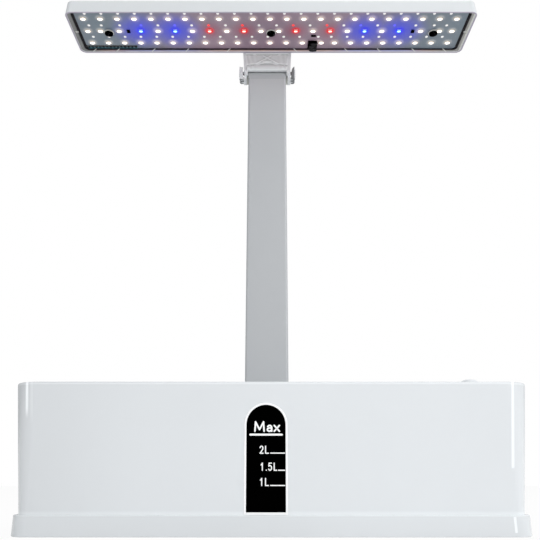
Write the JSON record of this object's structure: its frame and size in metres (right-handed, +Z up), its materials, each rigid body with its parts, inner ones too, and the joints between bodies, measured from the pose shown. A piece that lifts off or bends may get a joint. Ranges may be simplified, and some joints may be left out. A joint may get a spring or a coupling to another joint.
{
  "type": "countertop hydroponic garden",
  "caption": "Countertop hydroponic garden: water tank with level window and lift-off planting deck, net baskets, sliding mast and tilting LED grow lamp.",
  "frame": {"origin": "centre of the footprint, on the counter", "axes": "+Z up, -Y towards the level window and the user, +X to the user's right"},
  "size_m": [0.3954, 0.1404, 0.478],
  "materials": {
    "tank_white": "smooth glossy moulded plastic",
    "deck_white": "glossy moulded plastic",
    "panel_grey": "satin moulded plastic",
    "smoked_window": "dark smoked clear plastic",
    "mark_print": "printed white ink",
    "seal_rubber": "soft dark rubber",
    "screw_steel": "zinc plated steel",
    "board_green": "soldered circuit board",
    "black_plastic": "moulded black plastic",
    "pump_white": "moulded plastic",
    "lead_black": "insulated lead",
    "basket_white": "moulded net basket plastic",
    "mast_grey": "satin grey anodised",
    "head_grey": "satin grey plastic",
    "lamp_white": "glossy moulded plastic",
    "bracket_grey": "light grey moulded plastic",
    "lever_grey": "ribbed light grey plastic",
    "lamp_board": "lacquered metal core board",
    "led_white": "lit cool white diode",
    "led_red": "lit red diode",
    "led_blue": "lit blue diode",
    "screw_black": "black oxide steel",
    "clear_cover": "clear flat sheet"
  },
  "bodies": {
    "tank": {"base_tray": "tank_white", "rubber_feet": "seal_rubber", "tray_screws": "screw_steel", "water_tank": "tank_white", "level_window": "smoked_window", "window_frame": "tank_white", "window_gasket": "seal_rubber", "scale_marks": "mark_print"},
    "deck": {"planting_deck": "deck_white", "control_cover": "panel_grey", "control_board": "board_green", "button_switch": "black_plastic", "power_jack": "black_plastic", "cover_screws": "screw_steel", "fill_lid_pin": "screw_steel", "pump_body": "black_plastic", "pump_strainer": "black_plastic", "pump_stem": "pump_white", "inner_leads": "lead_black", "impeller_shaft": "screw_steel", "mast_socket": "deck_white", "socket_screws": "screw_steel", "mast_seal": "seal_rubber", "socket_lead": "lead_black", "lead_coil": "lead_black"},
    "button": {"button_cap": "panel_grey"},
    "fill_lid": {"fill_lid": "deck_white"},
    "impeller": {"impeller": "pump_white"},
    "mast": {"mast_tube": "mast_grey", "mast_head": "head_grey", "mast_foot": "black_plastic", "mast_lead": "lead_black"},
    "lamp": {"lamp_housing": "lamp_white", "led_board": "lamp_board", "white_leds": "led_white", "red_leds": "led_red", "blue_leds": "led_blue", "board_parts": "black_plastic", "lamp_screws": "screw_black", "lamp_cover": "clear_cover", "lead_plug": "black_plastic", "lamp_lead": "lead_black", "lamp_bracket": "bracket_grey", "bracket_screws": "screw_steel", "tilt_pins": "screw_steel", "tilt_washers": "pump_white", "lever_pins": "screw_steel"},
    "lever_left": {"lever_left": "lever_grey"},
    "lever_right": {"lever_right": "lever_grey"},
    "basket_1": {"basket_1": "basket_white"},
    "basket_2": {"basket_2": "basket_white"},
    "basket_3": {"basket_3": "basket_white"},
    "basket_4": {"basket_4": "basket_white"},
    "basket_5": {"basket_5": "basket_white"},
    "basket_6": {"basket_6": "basket_white"},
    "basket_7": {"basket_7": "basket_white"},
    "basket_8": {"basket_8": "basket_white"},
    "basket_9": {"basket_9": "basket_white"},
    "basket_10": {"basket_10": "basket_white"}
  },
  "joints": [
    {"name": "deck_lift", "type": "slide", "parent": "tank", "child": "deck", "axis": [0, 0, 1], "range_m": [0, 0.09]},
    {"name": "button_press", "type": "slide", "parent": "deck", "child": "button", "axis": [0, 0, -1], "range_m": [0, 0.0012], "stiffness_N_per_m": 500, "springref_m": -0.0006},
    {"name": "lid_hinge", "type": "hinge", "parent": "deck", "child": "fill_lid", "pos_m": [-0.154, -0.0156, 0.109], "axis": [-1, 0, 0], "range_deg": [0, 110]},
    {"name": "impeller_spin", "type": "hinge", "parent": "deck", "child": "impeller", "pos_m": [0.152, 0, 0.03], "axis": [0, 0, 1], "continuous": true},
    {"name": "mast_slide", "type": "slide", "parent": "deck", "child": "mast", "axis": [0, 0, 1], "range_m": [-0.05, 0], "deforming": ["lead_coil"]},
    {"name": "lamp_tilt", "type": "hinge", "parent": "mast", "child": "lamp", "pos_m": [-0.004, 0.035, 0.436], "axis": [1, 0, 0], "range_deg": [-60, 30]},
    {"name": "lever_left_squeeze", "type": "hinge", "parent": "lamp", "child": "lever_left", "pos_m": [-0.02975, 0.032, 0.4338], "axis": [0, 1, 0], "range_deg": [0, 5], "stiffness_Nm_per_rad": 0.06, "springref_deg": -1.72},
    {"name": "lever_right_squeeze", "type": "hinge", "parent": "lamp", "child": "lever_right", "pos_m": [0.02175, 0.032, 0.4338], "axis": [0, -1, 0], "range_deg": [0, 5], "stiffness_Nm_per_rad": 0.06, "springref_deg": -1.72},
    {"name": "basket_1_lift", "type": "slide", "parent": "deck", "child": "basket_1", "axis": [0, 0, 1], "range_m": [0, 0.06]},
    {"name": "basket_2_lift", "type": "slide", "parent": "deck", "child": "basket_2", "axis": [0, 0, 1], "range_m": [0, 0.06]},
    {"name": "basket_3_lift", "type": "slide", "parent": "deck", "child": "basket_3", "axis": [0, 0, 1], "range_m": [0, 0.06]},
    {"name": "basket_4_lift", "type": "slide", "parent": "deck", "child": "basket_4", "axis": [0, 0, 1], "range_m": [0, 0.06]},
    {"name": "basket_5_lift", "type": "slide", "parent": "deck", "child": "basket_5", "axis": [0, 0, 1], "range_m": [0, 0.06]},
    {"name": "basket_6_lift", "type": "slide", "parent": "deck", "child": "basket_6", "axis": [0, 0, 1], "range_m": [0, 0.06]},
    {"name": "basket_7_lift", "type": "slide", "parent": "deck", "child": "basket_7", "axis": [0, 0, 1], "range_m": [0, 0.06]},
    {"name": "basket_8_lift", "type": "slide", "parent": "deck", "child": "basket_8", "axis": [0, 0, 1], "range_m": [0, 0.06]},
    {"name": "basket_9_lift", "type": "slide", "parent": "deck", "child": "basket_9", "axis": [0, 0, 1], "range_m": [0, 0.06]},
    {"name": "basket_10_lift", "type": "slide", "parent": "deck", "child": "basket_10", "axis": [0, 0, 1], "range_m": [0, 0.06]}
  ]
}
